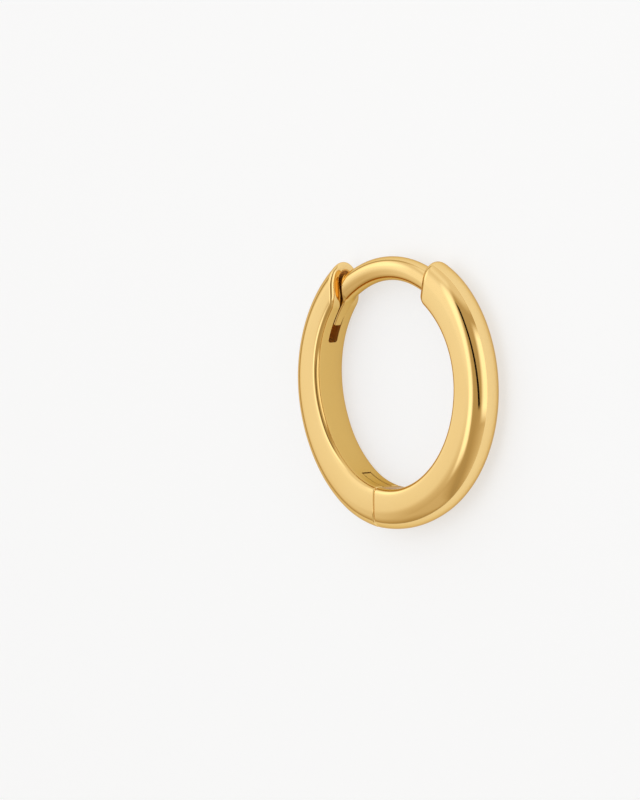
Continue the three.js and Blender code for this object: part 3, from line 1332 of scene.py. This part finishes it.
@dataclass(frozen=True)
class Glow:
    """A bright or dark patch of the room's walls, placed as a panel is.

    soft and fade are the widths of its blurred edges sideways and up, brightness is what it adds
    to the wall, and lean how far it moves sideways for each degree up.
    """

    around: float
    above: float
    width: float
    height: float
    soft: float
    fade: float
    brightness: float
    lean: float = 0.0


def within(aside: Field, size: float, blur: float) -> Field:
    """1 inside a band about 0 and 0 outside it, with blurred edges."""
    return 1.0 - aside.math("ABSOLUTE").span((size - blur) / 2, (size + blur) / 2)


def facing(place: Vector, back: Vector, above: Vector) -> Matrix:
    """A place for a lamp or camera that looks along -back, with above up in its view."""
    side = above.cross(back).normalized()
    turn = Matrix((side, back.cross(side), back)).transposed()
    return Matrix.Translation(place) @ turn.to_4x4()


@dataclass
class Studio:
    """Floor, lights and camera."""

    centre: Vector
    azimuth: float = 49.0
    elevation: float = 4.7
    distance: float = 0.307
    millimetres_per_pixel: float = 0.04386
    hoop_pixel: tuple[float, float] = (398.0, 384.5)
    frame_pixels: tuple[int, int] = (640, 800)
    sensor: float = 36.0
    near: float = 0.01
    wall: float = 0.5
    wall_slope: float = 0.06
    floor_reach: float = 1.5
    floor_roughness: float = 0.9
    floor_gloss: float = 0.1
    floor_tone: float = 0.42
    floor_glow: float = 0.543
    panels: tuple[Panel, ...] = (
        Panel("overhead_panel", -52.0, 8.0, 50.0, 50.0, 0.5),
        Panel("side_panel", -20.0, 40.0, 30.0, 30.0, 0.6),
    )
    glows: tuple[Glow, ...] = (
        Glow(-83.0, 17.5, 84.0, 75.0, 14.0, 44.0, 0.55),
        Glow(-52.0, 10.0, 21.0, 80.0, 8.0, 12.0, 0.34),
        Glow(-54.0, -18.0, 24.0, 26.0, 10.0, 14.0, 0.3),
        Glow(-112.0, 24.0, 30.0, 26.0, 10.0, 14.0, 0.35),
        Glow(28.0, 10.0, 34.0, 60.0, 16.0, 12.0, 0.85),
        Glow(40.0, -48.0, 60.0, 56.0, 60.0, 24.0, 0.28),
        Glow(-85.0, -60.0, 60.0, 50.0, 30.0, 24.0, 0.2),
        Glow(-118.0, -32.0, 30.0, 30.0, 16.0, 16.0, 0.14),
        Glow(0.0, 78.0, 400.0, 40.0, 12.0, 12.0, 0.3),
        Glow(-19.5, 16.0, 10.0, 58.0, 1.0, 4.0, -0.6, lean=-0.5),
    )
    wall_tone: tuple[float, float, float] = (1.0, 0.8, 0.5)
    floor_tint: tuple[float, float, float] = (1.0, 1.035, 1.085)

    def sight(self, around: float, elevation: float) -> Vector:
        """Direction from the hoop to a place beside the camera, with the hoop upright.

        Args:
            around: Degrees to the right of the camera.
            elevation: Degrees above the hoop's middle.

        Returns:
            A unit vector in the part's frame, where the upright hoop's top is at +Y.
        """
        turn = math.radians(self.azimuth + around)
        rise = math.radians(elevation)
        level = math.cos(rise)
        return Vector((math.sin(turn) * level, math.sin(rise), math.cos(turn) * level))

    def camera(self) -> None:
        """Places the camera at the photograph's angle to the hoop."""
        out = self.sight(0.0, self.elevation)
        right = UPRIGHT.cross(out).normalized()
        above = out.cross(right)
        scale = self.millimetres_per_pixel * MM
        across = (self.hoop_pixel[0] - self.frame_pixels[0] / 2) * scale
        down = (self.hoop_pixel[1] - self.frame_pixels[1] / 2) * scale
        place = self.centre + out * self.distance
        target = self.centre - right * across + above * down
        data = bpy.data.cameras.new("camera")
        data.sensor_width = self.sensor
        data.lens = self.sensor * self.distance / (self.frame_pixels[1] * scale)
        data.clip_start = self.near
        eye = bpy.data.objects.new("camera", data)
        eye.matrix_world = facing(place, (place - target).normalized(), above)
        bpy.context.scene.collection.objects.link(eye)
        bpy.context.scene.camera = eye

    def light(self, panel: Panel) -> None:
        """Places one soft light, facing the hoop.

        Args:
            panel: The light's place, size and brightness.
        """
        data = bpy.data.lights.new(panel.name, "AREA")
        data.shape = "RECTANGLE"
        data.size = 2 * panel.distance * math.tan(math.radians(panel.width / 2))
        data.size_y = 2 * panel.distance * math.tan(math.radians(panel.height / 2))
        data.energy = panel.brightness * math.pi * data.size * data.size_y
        lamp = bpy.data.objects.new(panel.name, data)
        lamp.visible_glossy = False
        out = self.sight(panel.around, panel.above)
        lamp.matrix_world = facing(self.centre + out * panel.distance, out, UPRIGHT)
        bpy.context.scene.collection.objects.link(lamp)

    def floor(self) -> None:
        """Lays a wide plain pale floor under the earring."""
        work = bmesh.new()
        bmesh.ops.create_grid(work, x_segments=1, y_segments=1, size=self.floor_reach)
        mesh = bpy.data.meshes.new("floor")
        work.to_mesh(mesh)
        work.free()
        material = bpy.data.materials.new("pale_floor")
        material.use_nodes = True
        shader = material.node_tree.nodes["Principled BSDF"]
        for label, value in (
            ("Base Color", (*[self.floor_tone] * 3, 1.0)), ("Roughness", self.floor_roughness),
            ("Specular IOR Level", self.floor_gloss),
            ("Emission Color", (*self.floor_tint, 1.0)), ("Emission Strength", self.floor_glow),
        ):
            shader.inputs[label].default_value = value
        mesh.materials.append(material)
        ground = bpy.data.objects.new("floor", mesh)
        bpy.context.scene.collection.objects.link(ground)

    def sky(self) -> None:
        """Fills the room with soft white light, from walls with brighter and darker patches."""
        world = bpy.data.worlds.new("room")
        world.use_nodes = True
        nodes = world.node_tree.nodes
        sight = nodes.new("ShaderNodeTexCoord")
        parts = nodes.new("ShaderNodeSeparateXYZ")
        feed(parts.inputs[0], Field(sight.outputs["Generated"]))
        above = Field(parts.outputs["Y"]).math("ARCSINE") * math.degrees(1.0)
        turn = Field(parts.outputs["X"]).math("ARCTAN2", Field(parts.outputs["Z"]))
        around = turn * math.degrees(1.0) - self.azimuth
        light = (above / 90.0) * self.wall_slope + self.wall
        for glow in self.glows:
            middle = (above - glow.above) * glow.lean + glow.around
            aside = (around - middle + 180.0).math("FLOORED_MODULO", 360.0) - 180.0
            mask = within(aside, glow.width, glow.soft)
            mask = mask * within(above - glow.above, glow.height, glow.fade)
            light = light + mask * glow.brightness
        feed(nodes["Background"].inputs["Strength"], light.math("MAXIMUM", 0.0))
        tone = mix_colours(
            world.node_tree, "MIX", light.span(self.wall, 1.0), (*self.wall_tone, 1.0),
            (*WHITE, 1.0),
        )
        feed(nodes["Background"].inputs["Color"], tone)
        bpy.context.scene.world = world

    def build(self) -> None:
        """Sets up the whole studio."""
        self.sky()
        self.floor()
        for panel in self.panels:
            self.light(panel)
        self.camera()
        bpy.context.scene.view_settings.view_transform = "Standard"


def main() -> None:
    """Builds the earring and its studio."""
    logging.basicConfig(level=logging.INFO, format="%(name)s %(message)s")
    groups = Polish().make(), PaintedBoreShade().make()
    metals = [metal.make(*groups) for metal in (POLISHED_GOLD, SAWN_GOLD, DRAWN_WIRE)]
    earring = Earring(*metals)
    earring.back_half()
    earring.front_half()
    earring.pin()
    Studio(hoop_centre()).build()


if __name__ == "__main__":
    main()
